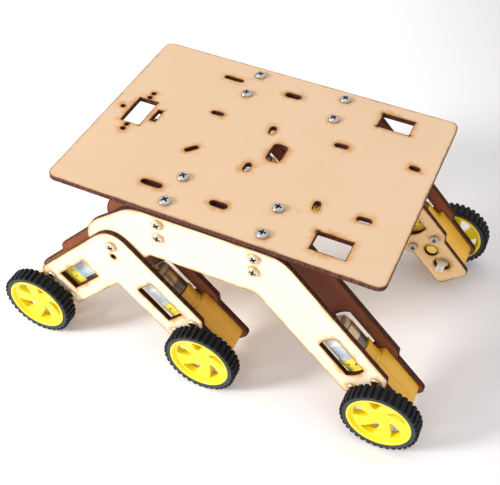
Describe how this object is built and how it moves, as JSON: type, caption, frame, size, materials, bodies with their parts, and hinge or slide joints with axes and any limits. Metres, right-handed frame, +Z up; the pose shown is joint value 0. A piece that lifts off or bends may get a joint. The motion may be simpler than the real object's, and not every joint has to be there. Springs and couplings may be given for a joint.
{
  "type": "rocker-bogie robot chassis",
  "caption": "Rolling robot chassis of cut fibreboard sheets: a slotted deck on rocker arms and pivoting bogies, with a gear motor and a small lugged wheel on every leg.",
  "frame": {"origin": "on the ground under the middle of the whole chassis, at the bottom centre of its box", "axes": "+X forward, towards the end with one wheel a side; +Y to the chassis's left; +Z up from the ground the wheels stand on"},
  "size_m": [0.275, 0.1794, 0.1278],
  "materials": {
    "fibreboard": "sawn tan fibreboard with scorched cut edges",
    "side_board": "sawn pale fibreboard with scorched cut edges",
    "gearbox_plastic": "satin ochre yellow moulding",
    "can_steel": "satin drawn steel",
    "shaft_nylon": "satin white nylon",
    "rim_plastic": "satin bright yellow moulding",
    "tyre_rubber": "matt black rubber with cross lugs",
    "screw_steel": "bright plated steel",
    "bracket_zinc": "dull zinc plate"
  },
  "bodies": {
    "chassis": {"deck_plate": "fibreboard", "rocker_inner_plate_left": "side_board", "rocker_outer_plate_left": "side_board", "deck_bracket_outer_front_left": "bracket_zinc", "deck_screw_outer_front_left": "screw_steel", "deck_bracket_outer_rear_left": "bracket_zinc", "deck_screw_outer_rear_left": "screw_steel", "deck_bracket_inner_front_left": "bracket_zinc", "deck_screw_inner_front_left": "screw_steel", "deck_bracket_inner_rear_left": "bracket_zinc", "deck_screw_inner_rear_left": "screw_steel", "bogie_pivot_bolt_left": "screw_steel", "bogie_pivot_nut_left": "screw_steel", "gearbox_front_left": "gearbox_plastic", "motor_can_front_left": "can_steel", "rocker_inner_plate_right": "side_board", "rocker_outer_plate_right": "side_board", "deck_bracket_outer_front_right": "bracket_zinc", "deck_screw_outer_front_right": "screw_steel", "deck_bracket_outer_rear_right": "bracket_zinc", "deck_screw_outer_rear_right": "screw_steel", "deck_bracket_inner_front_right": "bracket_zinc", "deck_screw_inner_front_right": "screw_steel", "deck_bracket_inner_rear_right": "bracket_zinc", "deck_screw_inner_rear_right": "screw_steel", "bogie_pivot_bolt_right": "screw_steel", "bogie_pivot_nut_right": "screw_steel", "gearbox_front_right": "gearbox_plastic", "motor_can_front_right": "can_steel"},
    "bogie_left": {"bogie_inner_plate_left": "side_board", "bogie_outer_plate_left": "side_board", "gearbox_middle_left": "gearbox_plastic", "motor_can_middle_left": "can_steel", "gearbox_rear_left": "gearbox_plastic", "motor_can_rear_left": "can_steel"},
    "bogie_right": {"bogie_inner_plate_right": "side_board", "bogie_outer_plate_right": "side_board", "gearbox_middle_right": "gearbox_plastic", "motor_can_middle_right": "can_steel", "gearbox_rear_right": "gearbox_plastic", "motor_can_rear_right": "can_steel"},
    "wheel_front_left": {"output_shaft_front_left": "shaft_nylon", "wheel_rim_front_left": "rim_plastic", "tyre_front_left": "tyre_rubber"},
    "wheel_middle_left": {"output_shaft_middle_left": "shaft_nylon", "wheel_rim_middle_left": "rim_plastic", "tyre_middle_left": "tyre_rubber"},
    "wheel_rear_left": {"output_shaft_rear_left": "shaft_nylon", "wheel_rim_rear_left": "rim_plastic", "tyre_rear_left": "tyre_rubber"},
    "wheel_front_right": {"output_shaft_front_right": "shaft_nylon", "wheel_rim_front_right": "rim_plastic", "tyre_front_right": "tyre_rubber"},
    "wheel_middle_right": {"output_shaft_middle_right": "shaft_nylon", "wheel_rim_middle_right": "rim_plastic", "tyre_middle_right": "tyre_rubber"},
    "wheel_rear_right": {"output_shaft_rear_right": "shaft_nylon", "wheel_rim_rear_right": "rim_plastic", "tyre_rear_right": "tyre_rubber"}
  },
  "joints": [
    {"name": "bogie_pivot_left", "type": "hinge", "parent": "chassis", "child": "bogie_left", "pos_m": [-0.056, 0.0655, 0.0897], "axis": [0, 1, 0], "range_deg": [-25, 25]},
    {"name": "bogie_pivot_right", "type": "hinge", "parent": "chassis", "child": "bogie_right", "pos_m": [-0.056, -0.0655, 0.0897], "axis": [0, 1, 0], "range_deg": [-25, 25]},
    {"name": "wheel_spin_front_left", "type": "hinge", "parent": "chassis", "child": "wheel_front_left", "pos_m": [0.114, 0.0817, 0.0235], "axis": [0, 1, 0], "continuous": true},
    {"name": "wheel_spin_middle_left", "type": "hinge", "parent": "bogie_left", "child": "wheel_middle_left", "pos_m": [0.002, 0.085, 0.0235], "axis": [0, 1, 0], "continuous": true},
    {"name": "wheel_spin_rear_left", "type": "hinge", "parent": "bogie_left", "child": "wheel_rear_left", "pos_m": [-0.114, 0.085, 0.0235], "axis": [0, 1, 0], "continuous": true},
    {"name": "wheel_spin_front_right", "type": "hinge", "parent": "chassis", "child": "wheel_front_right", "pos_m": [0.114, -0.0817, 0.0235], "axis": [0, 1, 0], "continuous": true},
    {"name": "wheel_spin_middle_right", "type": "hinge", "parent": "bogie_right", "child": "wheel_middle_right", "pos_m": [0.002, -0.085, 0.0235], "axis": [0, 1, 0], "continuous": true},
    {"name": "wheel_spin_rear_right", "type": "hinge", "parent": "bogie_right", "child": "wheel_rear_right", "pos_m": [-0.114, -0.085, 0.0235], "axis": [0, 1, 0], "continuous": true}
  ]
}
